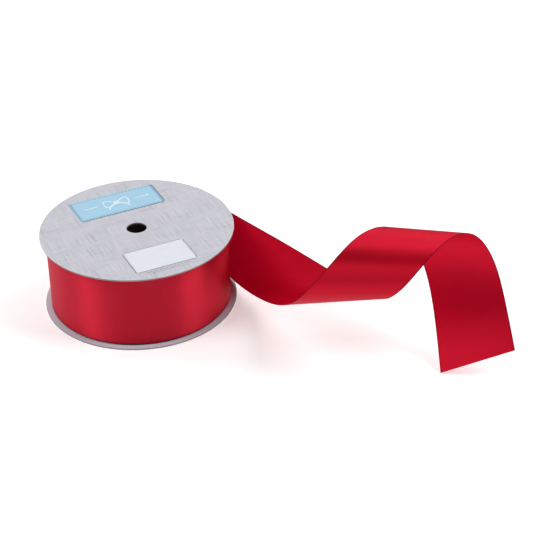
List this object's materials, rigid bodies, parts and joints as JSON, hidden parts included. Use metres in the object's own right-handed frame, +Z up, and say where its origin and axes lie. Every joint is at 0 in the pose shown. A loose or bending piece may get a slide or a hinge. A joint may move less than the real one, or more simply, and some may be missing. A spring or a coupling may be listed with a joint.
{
  "type": "ribbon spool",
  "caption": "Flanged cardboard spool wound with wide satin ribbon, its free end curling off the roll; it turns on its spindle hole to pay the ribbon out.",
  "frame": {"origin": "on the spindle hole's axis, at the underside of the lower flange, which is the surface that the spool stands on", "axes": "+Z up along the spindle hole; +X towards the side where the free end lies; +Y to the back"},
  "size_m": [0.2256, 0.1343, 0.0721],
  "materials": {
    "printed_paper": "satin",
    "plain_paper": "matte",
    "greyboard": "matte",
    "core_board": "matte",
    "core_paper": "matte",
    "glue": "satin",
    "tape": "gloss",
    "satin_ribbon": "satin",
    "blue_label": "satin",
    "white_label": "satin"
  },
  "bodies": {
    "reel": {"lower_facing": "printed_paper", "lower_board": "greyboard", "lower_lining": "plain_paper", "core_board_ply": "core_board", "core_paper_ply": "core_paper", "lower_glue_ring": "glue", "upper_glue_ring": "glue", "starter_tape": "tape", "ribbon_roll": "satin_ribbon", "upper_lining": "plain_paper", "upper_board": "greyboard", "upper_facing": "printed_paper", "name_patch": "blue_label", "price_label": "white_label"},
    "free_ribbon": {"outer_turn": "satin_ribbon", "ribbon_tail": "satin_ribbon"}
  },
  "joints": [
    {"name": "unwind", "type": "hinge", "parent": "reel", "child": "free_ribbon", "pos_m": [0, 0, 0], "axis": [0, 0, 1], "continuous": true}
  ]
}
